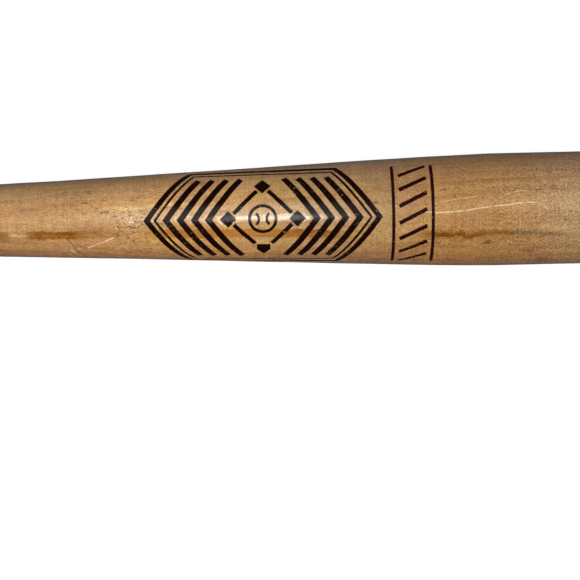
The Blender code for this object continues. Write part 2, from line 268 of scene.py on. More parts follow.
FLAT_SIDE_RADIUS = 0.02535  # the barrel of the CAD model, at the middle of its flattest side
DENT_NARROWNESS = 0.8
DENT_SHARPNESS = 1.5
EVEN_AFTER_KNOB = 0.02
EVEN_BEFORE_END = 0.006
ALL_ROUND = (-np.pi, np.pi)
BARREL_DENT = (0.0022, 0.006)
HANDLE_DENT = (0.0012, 0.003)
WAVES = waves(10, (8, 40), (1, 4), 0.00002) + waves(16, (50, 140), (2, 9), 0.000003)
DENTS = dents(26, (0.575, 0.742), ALL_ROUND, BARREL_DENT, BARREL_DENT, (0.00008, 0.00026))
DENTS += dents(12, (0.06, 0.31), ALL_ROUND, HANDLE_DENT, HANDLE_DENT, (0.00005, 0.00014))


def unevenness(s, turn):
    """How far the wood stands off its true turned outline."""
    lift = np.zeros_like(s)
    for cycles, lobes, phase, height in WAVES:
        lift += height * np.cos(2 * np.pi * cycles * s + lobes * turn + phase)
    for at, at_turn, length, width, depth in DENTS:
        apart = (turn - at_turn + np.pi) % (2 * np.pi) - np.pi
        across = apart * radius_at(s) / (width * DENT_NARROWNESS)
        lift -= depth * np.exp(-(((s - at) / length) ** 2 + across**2) * DENT_SHARPNESS)
    lift *= np.clip((s - HANDLE_START) / EVEN_AFTER_KNOB, 0, 1)
    lift *= np.clip((FALL_END - s) / EVEN_BEFORE_END, 0, 1)
    return np.minimum(lift, FLAT_SIDE_RADIUS - radius_at(s))


# Lines that scratches and cracks follow, as pixels of the photograph's frame


def wood_at(pixel):
    """(s, turn) where the camera sees the wood at a pixel."""
    way = RIGHT * (pixel[0] - IMAGE_MIDDLE) + UP * (IMAGE_MIDDLE - pixel[1]) - BACK * FOCAL_PIXELS
    way = way / way.length
    across = way.yz
    start = CAMERA_PLACE.yz
    half_b = start.dot(across)
    s = MIDDLE_S
    for _ in range(SEARCH_ROUNDS):
        radius = float(radius_at(s))
        under_root = half_b**2 - across.length_squared * (start.length_squared - radius**2)
        reach = (-half_b - math.sqrt(max(under_root, 0))) / across.length_squared
        s = CAMERA_PLACE.x + reach * way.x
    found = CAMERA_PLACE + way * reach
    return s, math.atan2(*found.yz)


LONG_SCRATCH = (
    (425, 212), (438, 212.5), (450, 212), (466, 210.5), (480, 208), (500, 205.5), (520, 203), (530, 202),
    (535, 202.5),
)
SHORT_SCRATCH = ((88, 248), (96, 245), (105, 241.5), (113, 238))
UPPER_SCRATCH = ((430, 205), (446, 201), (462, 198.5), (478, 196))
FAR_SCRATCH = ((505, 195), (512, 192), (522, 190.5), (528, 191.5))
NICKS = (
    ((77.5, 248.5), (80.5, 249.5)), ((545.5, 207), (546, 207.5)), ((71, 250), (75, 253)),
    ((131, 217), (133, 223)),
)
CRACK = ((66, 238), (71, 243), (76, 249), (80, 253), (87, 257))
FLAT_RADIUS = 0.0235  # the radius at which the wood is unrolled to lay scratches and the patch flat
# (line, half width, depth, strength)
SCRATCHES = (
    (LONG_SCRATCH, 0.00038, 0.00007, 1),
    (SHORT_SCRATCH, 0.00062, 0.00008, 1),
    (UPPER_SCRATCH, 0.00024, 0.00002, 0.55),
    (FAR_SCRATCH, 0.00024, 0.00003, 0.75),
    *((nick, 0.00052, 0.00006, 1) for nick in NICKS),
)
CRACKS = ((CRACK, 0.00042, 0.00016, 1),)


def flat_line(pixels):
    """A line of pixels as points (s, arc) on the unrolled wood."""
    return np.array([(s, turn * FLAT_RADIUS) for s, turn in map(wood_at, pixels)])


def worn_lines(points, lines):
    """How strongly each flat point lies in any of the lines, and how deep that is."""
    strength = np.zeros(len(points))
    depth = np.zeros(len(points))
    for pixels, half_width, deep, full in lines:
        line = flat_line(pixels)
        for a, b in zip(line, line[1:]):
            way = b - a
            t = np.clip(((points - a) @ way) / (way @ way), 0, 1)
            away = np.linalg.norm(points - a - t[:, None] * way, axis=1)
            near = np.clip(1 - away / half_width, 0, 1)
            strength = np.maximum(strength, near * full)
            depth = np.maximum(depth, near * deep)
    return np.array([strength, depth])


# Soft patches, each as (pixel of its middle, half length and half width in millimetres, strength)
PITTED = (
    ((131, 231), 9, 7.8, 1.5), ((136, 216), 4, 3.6, 0.7), ((517, 232), 4, 2.6, 1.5),
    ((533, 233), 6, 1.3, 1.3), ((550, 234), 8, 1, 1.1),
)
CHALKY = (
    ((130, 229), 10, 8, 1.4), ((136, 214), 5, 4, 0.6), ((519, 230), 4, 2.2, 0.8), ((552, 238.5), 6, 1, 0.8),
    ((540, 226), 10, 3, 0.3),
)
STAINED = (
    ((488, 242), 1.5, 1.4, 1.3), ((541, 260), 3.4, 4, 0.8), ((529, 251), 4.8, 2.4, 0.8),
    ((461, 232), 1.3, 1.3, 1), ((450.5, 237), 0.8, 0.6, 1.2), ((497, 244), 0.6, 0.5, 0.6),
)
FLECKED = (
    ((57, 205), 5.5, 1, 1.1), ((82, 203), 4.8, 1, 1.1), ((88, 212), 3, 1, 1.1), ((26, 209.5), 6, 0.9, 1),
    ((172, 210), 7, 1.6, 0.9), ((112, 206), 4, 1, 0.7), ((20, 246), 6, 1, 0.6), ((410, 232), 5, 1.2, 0.7),
    ((560, 190), 10, 1, 0.9),
)
# Pale places of the wood; the two long streaks are a painted highlight line
PALE = (
    ((127, 208.5), 11, 0.9, 0.9), ((169, 204.5), 11, 0.9, 0.9), ((12, 235.5), 2.2, 0.7, 0.9),
    ((22, 236), 3, 0.6, 0.8), ((118, 213), 17, 6, 0.08),
)
GROOVED = (((62, 221), 30, 9, 0.5), ((495, 220), 25, 8, 0.4))
SHADED = (((75, 245), 30, 5, -0.3), ((541, 262), 12, 4, 0.2), ((518, 232), 6, 2.6, 0.8))


# Flat drawing of the marks. A strip is a list of pairs of points, one on each of its two sides


def strip(points, width, grow):
    """An open strip along points with mitred corners, made larger all round by grow."""
    ways = [(b - a).normalized() for a, b in zip(points, points[1:])]
    pairs = []
    for i, point in enumerate(points):
        before = ways[max(i - 1, 0)]
        after = ways[min(i, len(ways) - 1)]
        mitre = Vector((-before.y - after.y, before.x + after.x)) / (1 + before.dot(after))
        if i == 0:
            point = point - after * grow
        elif i == len(points) - 1:
            point = point + before * grow
        side = mitre * (width / 2 + grow)
        pairs.append((point + side, point - side))
    return pairs


def hexagon(inset):
    half_height = MARK_HEIGHT / 2 - inset
    point = MARK_LENGTH / 2 - inset * math.hypot(1, POINT_SLOPE)
    shoulder = point - POINT_SLOPE * half_height
    right = [(shoulder, -half_height), (point, 0), (shoulder, half_height)]
    return [Vector(corner) for corner in right + [(-u, -v) for u, v in right]]


def frame_line(inset, width, grow):
    return list(zip(hexagon(inset - grow), hexagon(inset + width + grow)))


def ball_line(grow):
    turns = [2 * math.pi * i / BALL_SIDES for i in range(BALL_SIDES)]
    ways = [Vector((math.cos(turn), math.sin(turn))) for turn in turns]
    return [(way * (BALL_RADIUS + grow), way * (BALL_RADIUS - BALL_LINE - grow)) for way in ways]


def seam_points(way):
    reach = BALL_RADIUS - BALL_LINE - SEAM_GAP - SEAM_LINE / 2
    out, curve = SEAM_CENTRE_OUT, SEAM_CURVE
    half_turn = math.acos((out**2 + curve**2 - 1) / (2 * out * curve))
    turns = [half_turn * (2 * i / SEAM_STEPS - 1) for i in range(SEAM_STEPS + 1)]
    return [Vector((way * (out - curve * math.cos(a)), curve * math.sin(a))) * reach for a in turns]


def home_plate(middle, grow):
    half = HOME_WIDTH / 2
    side = half + grow
    corner = grow - grow * math.sqrt(2)
    tip = -half - grow * math.sqrt(2)
    low = [(-side, corner), (0, tip), (side, corner)]
    return [(middle + Vector((u, side)), middle + Vector((u, v))) for u, v in low]


# Each mark is (its node, whether its line is closed, its drawing for a given growth)
SIDE_WAYS = (("left", -1), ("right", 1))


def line_mark(name, points, width):
    return name, False, partial(strip, points, width)


def diamond_marks():
    square_reach = BASE_SIDE / 2
    bases = [
        ("home", Vector((0, -BASE_OUT)), HOME_WIDTH / math.sqrt(2)),
        ("first", Vector((BASE_OUT, 0)), square_reach),
        ("second", Vector((0, BASE_OUT)), square_reach),
        ("third", Vector((-BASE_OUT, 0)), square_reach),
    ]
    yield "base_home", False, partial(home_plate, bases[0][1])
    slant = Vector((1, 1)).normalized() * square_reach
    for name, middle, _ in bases[1:]:
        yield line_mark(f"base_{name}", [middle - slant, middle + slant], BASE_SIDE)
    for (name, start, start_reach), (after, stop, stop_reach) in zip(bases, bases[1:] + bases[:1]):
        way = (stop - start).normalized()
        line = [start + way * (start_reach + BASE_GAP), stop - way * (stop_reach + BASE_GAP)]
        yield line_mark(f"base_line_{name}_{after}", line, BASE_LINE)


def stitch_marks():
    inset = FRAME_DEPTH + STITCH_MARGIN
    first = hexagon(inset + STITCH_WIDTH / 2)[1].x
    end_rise = STITCH_WIDTH / 2 * POINT_SLOPE / math.hypot(1, POINT_SLOPE)
    reach = MARK_HEIGHT / 2 - inset - end_rise
    pitch = (first - DIAMOND_REACH - STITCH_DIAMOND_GAP) / (STITCH_COUNT - 1)
    for side, way in SIDE_WAYS:
        for i in range(STITCH_COUNT):
            point = first - pitch * i
            tail = point - POINT_SLOPE * reach
            corners = [Vector((way * u, v)) for u, v in ((tail, reach), (point, 0), (tail, -reach))]
            yield line_mark(f"stitch_{side}_{i + 1}", corners, STITCH_WIDTH)


def band_marks():
    near = MARK_LENGTH / 2 + BAND_MARK_GAP + BAND_LINE / 2
    far = near + BAND_LENGTH - BAND_LINE
    for name, u in (("near", near), ("far", far)):
        line = [Vector((u, BAND_HEIGHT / 2)), Vector((u, -BAND_HEIGHT / 2))]
        yield line_mark(f"band_line_{name}", line, BAND_LINE)
    bar_end = BAND_LINE / 2 + BAND_BAR_GAP + BAND_BAR / 2
    left, right = near + bar_end, far - bar_end
    pitch = (BAND_HEIGHT - BAND_BAR_SLANT - BAND_BAR) / (BAND_BAR_COUNT - 1)
    for i in range(BAND_BAR_COUNT):
        v = pitch * ((BAND_BAR_COUNT - 1) / 2 - i)
        bar = [Vector((left, v - BAND_BAR_SLANT / 2)), Vector((right, v + BAND_BAR_SLANT / 2))]
        yield line_mark(f"band_bar_{i + 1}", bar, BAND_BAR)


BLACK_MARKS = [
    ("frame_outer", True, partial(frame_line, 0, FRAME_LINE)),
    ("frame_inner", True, partial(frame_line, FRAME_LINE + FRAME_SPACE, FRAME_INNER_LINE)),
    *diamond_marks(),
    ("ball_ring", True, ball_line),
    *(line_mark(f"ball_seam_{side}", seam_points(way), SEAM_LINE) for side, way in SIDE_WAYS),
    *stitch_marks(),
]
MAROON_MARKS = list(band_marks())


# Laying the drawing on the wood


def fine_rails(pairs, closed):
    """A strip's pairs of points, with more between them so that none lie further apart than a line step."""
    following = pairs[1:] + pairs[:1] if closed else pairs[1:]
    rails = []
    for (left, right), (next_left, next_right) in zip(pairs, following):
        steps = math.ceil(max((next_left - left).length, (next_right - right).length) / LINE_STEP)
        for i in range(steps):
            rails.append((left.lerp(next_left, i / steps), right.lerp(next_right, i / steps)))
    if not closed:
        rails.append(pairs[-1])
    return rails


def polar(points):
    """Flat drawing points as arrays of s and turn."""
    u, v = np.array(points, float).reshape(-1, 2).T
    s = MARK_MIDDLE + u
    return s, v / radius_at(s)


def on_wood(s, turn, out):
    """World points, as rows, of places at a distance out from the bat's axis."""
    return np.stack([s, out * np.sin(turn), out * np.cos(turn)], axis=1)


def add_piece(name, points, faces, material, slot, nodes):
    """A piece of the bat from its points and faces, standing for the named solids."""
    mesh = bpy.data.meshes.new(name)
    mesh.from_pydata(points.tolist(), [], faces)
    mesh.materials.append(material)
    mesh.shade_smooth()
    mesh.set_sharp_from_angle(angle=SHARP_ANGLE)
    piece = add_object(name, mesh)
    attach(piece, "root")
    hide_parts(*nodes)
    flip_if_inside_out(mesh)
    return piece


EDGE_WANDER = 0.00006
# Two waves shift a foil's edge along the bat and two round it: (radians a millimetre along, round, phase)
EDGE_WAVES = (((2.9, 4.3, 0), (7.1, -5.9, 1.3)), ((3.7, -3.1, 2.1), (6.3, 7.7, 0.4)))


def wander(points):
    """A small wandering of the foil's edges, as the heated die leaves them."""
    u, v = np.moveaxis(points, -1, 0) * 1000
    shift = [sum(np.sin(u * a + v * b + phase) for a, b, phase in pair) for pair in EDGE_WAVES]
    return points + np.stack(shift, axis=-1) * EDGE_WANDER / 2


def quads(first, second):
    """Faces between two lines of points."""
    return list(zip(first, second, second[1:], first[1:]))


def add_foil(name, closed, drawing, material, slot):
    """One piece of foil in its seat, with a wandering edge."""
    rails = fine_rails(drawing(0), closed)
    width = max((left - right).length for left, right in rails)
    across = max(2, math.ceil(width / LINE_STEP))
    sides = wander(np.array(rails))
    share = np.linspace(0, 1, across + 1)[None, :, None]
    grid = sides[:, :1] * (1 - share) + sides[:, 1:] * share
    s, turn = polar(grid)
    out = radius_at(s) + unevenness(s, turn) - FOIL_BELOW_WOOD
    points = np.concatenate([on_wood(s, turn, out), on_wood(s, turn, out - FOIL_THICKNESS)])
    under = len(s)
    level = np.arange(under).reshape(len(rails), -1)
    if closed:
        level = np.concatenate([level, level[:1]])
    faces = []
    for row, following in zip(level, level[1:]):
        faces += quads(row, following)
        faces += [face[::-1] for face in quads(row + under, following + under)]
    walls = [(level[:, 0], 1), (level[:, -1], -1)]
    if not closed:
        walls += [(level[0], -1), (level[-1], 1)]
    for edge, way in walls:
        faces += [face[::way] for face in quads(edge, edge + under)]
    add_piece(f"foil_{name}", points, faces, material, slot, [name])


def fetched(table, key, width=1, kind=np.int32):
    """One value, or width numbers, of each row of a mesh's table."""
    values = np.empty(len(table) * width, kind)
    table.foreach_get(key, values)
    return values


def flip_if_inside_out(mesh):
    """Turn all faces over if the closed mesh has a negative volume."""
    mesh.calc_loop_triangles()
    places = fetched(mesh.vertices, "co", 3, float).reshape(-1, 3)
    corners = fetched(mesh.loop_triangles, "vertices", 3).reshape(-1, 3)
    a, b, c = places[corners].transpose(1, 0, 2)
    if np.einsum("ij,ij->", a, np.cross(b, c)) < 0:
        mesh.flip_normals()


# The turned wood, with a finely cut patch where the marks and scratches lie


def seat_outlines(grow):
    """For each mark, whether it is closed, and its rails grown by grow as flat points (s, arc)."""
    for _, closed, drawing in BLACK_MARKS + MAROON_MARKS:
        s, turn = polar(fine_rails(drawing(grow), closed))
        yield closed, np.stack([s, turn * FLAT_RADIUS], axis=1).reshape(-1, 2, 2)


def thin_rails(line, half_width):
    """The middle and the two sides of a scratch, as three flat lines about a line step apart."""
    dense = []
    for a, b in zip(line, line[1:]):
        steps = math.ceil(np.linalg.norm(b - a) / LINE_STEP)
        dense += [a + (b - a) * i / steps for i in range(steps)]
    dense.append(line[-1])
    first, last = [(a - b) / np.linalg.norm(a - b) * half_width for a, b in (dense[:2], dense[:-3:-1])]
    dense = np.array([dense[0] + first] + dense + [dense[-1] + last])
    way = np.gradient(dense, axis=0)
    side = np.stack([-way[:, 1], way[:, 0]], axis=1)
    side = side / np.linalg.norm(side, axis=1)[:, None] * half_width
    return [dense, dense + side, dense - side]


class Cutting:
    """Points, lines and faces that the patch is cut along, in millimetres for the triangulation."""

    def __init__(self):
        self.points = []
        self.lines = []
        self.faces = []

    def add_points(self, flat):
        first = len(self.points)
        self.points += [tuple(p) for p in np.asarray(flat) * 1000]
        return list(range(first, len(self.points)))

    def add_line(self, flat, closed=False):
        ids = self.add_points(flat)
        self.lines += list(zip(ids, ids[1:] + ids[:1] if closed else ids[1:]))

    def add_seat(self, closed, flat):
        left = self.add_points(flat[:, 0])
        right = self.add_points(flat[:, 1])
        for i in range(-1 if closed else 0, len(flat) - 1):
            (a, d), (b, c) = flat[i], flat[i + 1]
            face = (left[i], left[i + 1], right[i + 1], right[i])
            anticlockwise = np.cross(c - a, d - b) > 0
            self.faces.append(face if anticlockwise else face[::-1])

    def add_rim(self, closed, flat):
        left, right = flat[:, 0], flat[:, 1]
        for line in (left, right) if closed else (np.concatenate([left, right[::-1]]),):
            self.add_line(line, True)


def clear_of(points, lines, distance, shares=24):
    """Which points lie further than distance from all points of the lines, tried in shares."""
    parts = np.array_split(points, shares)
    gaps = [np.linalg.norm(part[:, None] - lines, axis=2).min(axis=1) for part in parts]
    return np.concatenate(gaps) > distance


def cut_patch(rings, turns, patch_rings, patch_sides):
    """The patch's flat points (s, arc) and triangles, each point's place in the grid, and what is a seat."""
    cutting = Cutting()
    for closed, flat in seat_outlines(SEAT_CLEARANCE):
        cutting.add_seat(closed, flat)
    for closed, flat in seat_outlines(SEAT_CLEARANCE + RIM_WIDTH):
        cutting.add_rim(closed, flat)
    for pixels, half_width, _, _ in SCRATCHES + CRACKS:
        for line in thin_rails(flat_line(pixels), half_width):
            cutting.add_line(line)
    lines = np.array(cutting.points) / 1000

    ring_ends = (patch_rings[0], patch_rings[-1])
    side_ends = (patch_sides[0], patch_sides[-1])
    grid = [(i, j) for i in patch_rings for j in patch_sides]
    flat = np.array([(rings[i][0], turns[j] * FLAT_RADIUS) for i, j in grid])
    border = np.array([i in ring_ends or j in side_ends for i, j in grid])
    kept = border | clear_of(flat, lines, CLEAR_OF_LINES)
    chosen = [place for place, keep in zip(grid, kept) if keep]
    ids = dict(zip(chosen, cutting.add_points(flat[kept])))
    for i in ring_ends:
        cutting.lines += [(ids[i, j], ids[i, j + 1]) for j in patch_sides[:-1]]
    for j in side_ends:
        cutting.lines += [(ids[i, j], ids[i + 1, j]) for i in patch_rings[:-1]]

    points = [Vector(p) for p in cutting.points]
    out = delaunay_2d_cdt(points, cutting.lines, cutting.faces, 0, MERGE_MILLIMETRES, True)
    found, _, triangles, from_points, _, from_faces = out
    grid_of = dict(zip(ids.values(), ids))
    origin = [next((grid_of[k] for k in sources if k in grid_of), None) for sources in from_points]
    in_seat = [bool(sources) for sources in from_faces]
    return np.array([tuple(p) for p in found]) / 1000, triangles, origin, in_seat


def build_wood():
    """Each point of the turned bat as (s, turn, radius, length along the outline, lift), and the faces."""
    rings = outline()
    turns = [-math.pi + 2 * math.pi * j / SIDES for j in range(SIDES)]
    lengths = np.concatenate([[0], np.cumsum([math.dist(a, b) for a, b in zip(rings, rings[1:])])])
    in_patch = [i for i, (s, _) in enumerate(rings) if PATCH_START - TINY < s < PATCH_END + TINY]
    patch_rings = range(in_patch[0], in_patch[-1] + 1)
    in_patch = [j for j, turn in enumerate(turns) if abs(turn) < PATCH_TURN + TINY]
    patch_sides = range(in_patch[0], in_patch[-1] + 1)
    places = []
    faces = []
    index = {}

    def put(*place):
        places.append(place)
        return len(places) - 1

    def inside(i, j):
        return i in patch_rings[1:-1] and j in patch_sides[1:-1]

    for i, (s, radius) in enumerate(rings):
        for j, turn in enumerate(turns):
            if radius == 0 and j > 0:
                index[i, j] = index[i, 0]
            elif not inside(i, j):
                index[i, j] = put(s, turn, radius, lengths[i], 0)
    for i in range(len(rings) - 1):
        for j in range(SIDES):
            k = (j + 1) % SIDES
            if i not in patch_rings[:-1] or j not in patch_sides[:-1]:
                corners = (index[i, j], index[i + 1, j], index[i + 1, k], index[i, k])
                faces.append(tuple(dict.fromkeys(corners)))

    flat, triangles, origin, in_seat = cut_patch(rings, turns, patch_rings, patch_sides)
    s, arc_at = flat.T
    length_at = np.interp(s, [rings[i][0] for i in patch_rings], lengths[list(patch_rings)])
    place_of = np.stack([s, arc_at / FLAT_RADIUS, radius_at(s), length_at], axis=1)
    edges = {True: set(), False: set()}
    for (a, b, c), seated in zip(triangles, in_seat):
        edges[seated].update(((a, b), (b, c), (c, a)))
    seat_points, wood_points = ({p for edge in edges[seated] for p in edge} for seated in (True, False))
    top, floor = {}, {}
    for p, place in enumerate(place_of):
        if p in wood_points:
            if origin[p] and not inside(*origin[p]):
                top[p] = index[origin[p]]
            else:
                top[p] = put(*place, -RIM_DROP if p in seat_points else 0)
        if p in seat_points:
            floor[p] = put(*place, -SEAT_DEPTH)
    for triangle, seated in zip(triangles, in_seat):
        level = floor if seated else top
        faces.append(tuple(level[p] for p in triangle))
    for a, b in sorted(edges[True]):
        if (b, a) in edges[False]:
            faces.append((floor[a], top[a], top[b], floor[b]))
    return np.array(places).T, faces


def add_bake_map(mesh, s, turn, radius, length):
    """A map for baking: the wood unrolled in two strips, one over the other."""
    corners = fetched(mesh.loops, "vertex_index")
    totals = fetched(mesh.polygons, "loop_total")
    face = np.repeat(np.arange(len(totals)), totals)
    corner_turn = turn[corners]
    on_axis = radius[corners] == 0
    low = np.full(len(totals), np.inf)
    high = -low
    np.minimum.at(low, face[~on_axis], corner_turn[~on_axis])
    np.maximum.at(high, face[~on_axis], corner_turn[~on_axis])
    wraps = high - low > np.pi
    corner_turn[wraps[face] & (corner_turn < 0)] += 2 * np.pi
    corner_turn[on_axis] = np.where(wraps, high, low)[face][on_axis]
    split = length[np.argmin(np.abs(s - PATCH_START))]
    middle = np.bincount(face, length[corners]) / totals
    second = (middle > split)[face]
    u = (length[corners] - np.where(second, split, 0)) / max(split, length.max() - split)
    v = (corner_turn / (2 * np.pi) + 0.5) / (1 + 1.5 / SIDES)
    v = v * (0.5 - 2 * BAKE_MARGIN) + second / 2
    places = np.stack([u * (1 - 2 * BAKE_MARGIN), v], axis=1) + BAKE_MARGIN
    mesh.uv_layers.new(name="OFBake").data.foreach_set("uv", places.ravel())


# Materials


class Value:
    """What one output of a node gives, with Python's own signs for sums of it."""

    def __init__(self, shader, socket):
        self.shader = shader
        self.socket = socket

    def sum(self, operation, other):
        return self.shader.math(operation, self, other)

    __add__ = partialmethod(sum, "ADD")
    __sub__ = partialmethod(sum, "SUBTRACT")
    __mul__ = partialmethod(sum, "MULTIPLY")
    __truediv__ = partialmethod(sum, "DIVIDE")
    __pow__ = partialmethod(sum, "POWER")


class Shader:
    """The nodes of a material or of the world, made with short calls that give values."""

    def __init__(self, owner):
        owner.use_nodes = True
        self.owner = owner
        self.nodes = owner.node_tree.nodes
        self.place = self.add("TexCoord", {}, "Object")

    def fill(self, node, inputs):
        """Link values to a node's inputs, and set plain numbers and colours on them."""
        for key, value in inputs.items():
            if isinstance(value, Value):
                self.owner.node_tree.links.new(value.socket, node.inputs[key])
            else:
                node.inputs[key].default_value = value

    def add(self, kind, inputs, output=0, **settings):
        node = self.nodes.new(f"ShaderNode{kind}")
        for key, value in settings.items():
            setattr(node, key, value)
        self.fill(node, inputs)
        return Value(self, node.outputs[output])

    def split(self, vector):
        """The three numbers of a vector."""
        parts = self.add("SeparateXYZ", {0: vector})
        return [Value(self, socket) for socket in parts.socket.node.outputs]

    def mark(self, name):
        """One of the mesh's own point values."""
        return self.add("Attribute", {}, "Fac", attribute_name=name)

    def math(self, operation, a, b=0):
        return self.add("Math", {0: a, 1: b}, operation=operation)

    def vector(self, operation, a, b):
        key = "Scale" if operation == "SCALE" else 1
        return self.add("VectorMath", {0: a, key: b}, operation=operation)

    def mix(self, share, a, b, blend="MIX"):
        """Colour a, with b laid over it by a share."""
        return self.add("Mix", {0: share, 6: a, 7: b}, 2, data_type="RGBA", blend_type=blend)

    def noise(self, along, across, detail=2, rough=0.5, output=0):
        """Noise about 0.5, with so many cells in a metre along and across the bat."""
        stretched = self.vector("MULTIPLY", self.place, (along, across, across))
        inputs = {"Vector": stretched, "Scale": 1, "Detail": detail, "Roughness": rough}
        return self.add("TexNoise", inputs, output)

    def ripple(self, *cells):
        """The same noise spread from -1 to 1."""
        return self.scaled(self.noise(*cells), 0.3, 0.7, -1, 1)

    def scaled(self, value, low, high, to_low=0, to_high=1, **settings):
        """Value mapped from low-high to to_low-to_high, and no further."""
        return self.add("MapRange", {0: value, 1: low, 2: high, 3: to_low, 4: to_high}, **settings)

    def smooth(self, *limits):
        """The same mapping as a smooth step."""
        return self.scaled(*limits, interpolation_type="SMOOTHSTEP")

    def follow(self, s, pairs):
        """A value from 0 to 1 that follows (place along the bat, value) pairs."""
        start, stop = pairs[0][0], pairs[-1][0]
        curve = self.add("ValToRGB", {0: self.scaled(s, start, stop)})
        ramp = curve.socket.node.color_ramp
        ramp.interpolation = "EASE"
        while len(ramp.elements) < len(pairs):
            ramp.elements.new(0.5)
        for element, (at, value) in zip(ramp.elements, pairs):
            element.position = (at - start) / (stop - start)
            element.color = grey(value)
        return curve

    def spots(self, patches):
        """How strongly a place lies in a table's soft patches, which end at 1.6 times their half sizes."""
        total = 0
        for pixel, length, width, full in patches:
            sizes = (length / 1000, width / 1000, width / 1000)
            shift = [-at / size for at, size in zip(point_at(*wood_at(pixel)), sizes)]
            inputs = {0: self.place, 1: [1 / size for size in sizes], 2: shift}
            off = self.add("VectorMath", inputs, operation="MULTIPLY_ADD")
            away = self.add("VectorMath", {0: off}, "Value", operation="LENGTH")
            total = self.smooth(away, 0.2, 1.6, full, 0) + total
        return total

    def bump(self, height, strength):
        return self.add("Bump", {"Height": height, "Strength": strength, "Distance": BUMP_DEPTH})


def point_at(s, turn):
    """The point of the wood at a place and turn."""
    radius = float(radius_at(s))
    return s, radius * math.sin(turn), radius * math.cos(turn)


def grey(value):
    return (value, value, value, 1)


# Colours of wood and foil, linear, the darkest shade, and how deep bumps are
PALE_WOOD = (0.63, 0.356, 0.128, 1)
DARK_WOOD = (0.425, 0.196, 0.064, 1)
ROSY_WOOD = (0.645, 0.325, 0.132, 1)
YELLOW_WOOD = (0.628, 0.368, 0.118, 1)
# Tints by side: a cooler, greyer upper side is a painted reflection, and a darker, warmer lower side is
# painted shade
PAINTED_COOL_REFLECTION = (0.92, 0.92, 1.06, 1)
PAINTED_WARM_SHADE = (0.98, 0.81, 0.72, 1)
# Pale yellow for pale places of the wood and for a painted highlight line
PALE_YELLOW_AND_HIGHLIGHT = (0.85, 0.6, 0.23, 1)
AMBER = (0.165, 0.05, 0, 1)
LIGHT_AMBER = (0.5, 0.18, 0.01, 1)
CORE_BROWN = (0.17, 0.05, 0, 1)
CORE_GREY = (0.15, 0.085, 0.048, 1)
STAIN_BROWN = (0.235, 0.086, 0.004, 1)
PORE = (0.11, 0.048, 0.016, 1)
SCRAPED = (0.93, 0.68, 0.44, 1)
CRACK_DARK = (0.08, 0.034, 0.012, 1)
SOIL = (0.24, 0.145, 0.08, 1)
END_GRAIN = (0.33, 0.18, 0.075, 1)
BLACK = (0.006, 0.0008, 0.0002, 1)
MAROON = (0.016, 0.001, 0.0016, 1)
WORN_FOIL = (0.3, 0.175, 0.085, 1)
DARKEST_SHADE = 0.15
BUMP_DEPTH = 0.0001

# Brightness and warmth of the wood along the bat, as (pixel column, value): partly the wood's own tone and
# partly painted light, brighter near the highlight's halo, darker towards the barrel where the light falls
# off, and greyer at the barrel's end as a painted sheen
TONE_AND_PAINTED_LIGHT = (
    (-40, 0.93), (20, 0.93), (60, 0.97), (110, 1), (170, 1.09), (225, 1.03), (300, 0.89), (350, 0.9),
    (385, 0.83), (410, 0.86), (437, 0.92), (470, 0.9), (510, 0.91), (545, 0.94), (579, 0.96),
)
WARMTH_AND_PAINTED_SHEEN = (
    (-40, 0.47), (60, 0.49), (110, 0.56), (160, 0.68), (230, 0.62), (280, 0.5), (320, 0.32), (350, 0.52),
    (385, 0.38), (425, 0.8), (440, 0.86), (465, 0.77), (500, 0.74), (525, 0.6), (550, 0.25), (566, 0.03),
)

# Growth rings: where the pith lies from the bat's axis, how wide a ring is, and how rings drift and bend
PITH_Y = 0.014
PITH_Z = -0.083
RING_WIDTH = 0.003
PITH_DRIFT = 0.01
RING_WARP = 0.01

# The amber streak and its dark core: their middles as pixels of the photograph's frame, how ragged their
# edges are, and their strength and lightness by pixel column
STREAK_ROW = 234
ARC_MARGIN = 0.001
STREAK_RAGGED = 0.001
CORE_RAGGED = 0.0012
STREAK_LINE = (
    (0, 236), (50, 235.5), (100, 234.5), (160, 234), (230, 233), (300, 233), (340, 234), (430, 234.5),
    (466, 234.5), (500, 234), (579, 234.5),
)
STREAK_STRENGTH = (
    (-40, 0), (0, 0.75), (8, 0.65), (11, 0.15), (22, 0.25), (33, 0.95), (72, 1), (90, 0.55), (112, 0.35),
    (130, 0.12), (150, 0.45), (165, 0.9), (205, 0.9), (255, 0.82), (285, 0.95), (325, 0.95), (350, 0.4),
    (378, 0.08), (416, 0.15), (430, 0.6), (455, 0.66), (478, 0.58), (508, 0.5), (516, 0.25), (640, 0),
)
STREAK_LIGHT = (
    (0, 0.45), (20, 0.55), (40, 0.4), (62, 0.31), (85, 0.47), (120, 0.7), (165, 0.95), (285, 0.88),
    (298, 0.48), (325, 0.4), (350, 0.6), (430, 0.66), (579, 0.6),
)
CORE_LINE = (
    (410, 235), (430, 234.2), (444, 235.2), (452, 235), (459, 233.8), (468, 237), (477, 235), (484, 232.8),
    (496, 232.8), (512, 232.5), (535, 233), (548, 234), (575, 234.5),
)
CORE_STRENGTH = (
    (410, 0), (422, 0.3), (428, 0.6), (436, 1), (448, 1), (453, 0.85), (460, 1), (472, 1), (478, 0.9),
    (488, 0.65), (496, 0.65), (508, 0.7), (514, 0.45), (526, 0.6), (540, 0.7), (556, 0.55), (575, 0),
)


def s_at(column):
    """The place along the bat that the camera sees in a pixel column, on the amber streak."""
    return wood_at((column, STREAK_ROW))[0]


def add_strength(sh, s, strengths):
    """A value that follows (pixel column, value) pairs along the bat."""
    return sh.follow(s, [(s_at(column), value) for column, value in strengths])


def add_offset(sh, s, arc_length, pixels, ragged):
    """How far a place lies above a line of pixels, measured round the bat and unevenly by ragged."""
    line = [(at, turn * float(radius_at(at))) for at, turn in map(wood_at, pixels)]
    arcs = [arc_at for _, arc_at in line]
    low, high = min(arcs) - ARC_MARGIN, max(arcs) + ARC_MARGIN
    share = sh.follow(s, [(at, (arc_at - low) / (high - low)) for at, arc_at in line])
    return arc_length - sh.scaled(share, 0, 1, low, high) + ragged


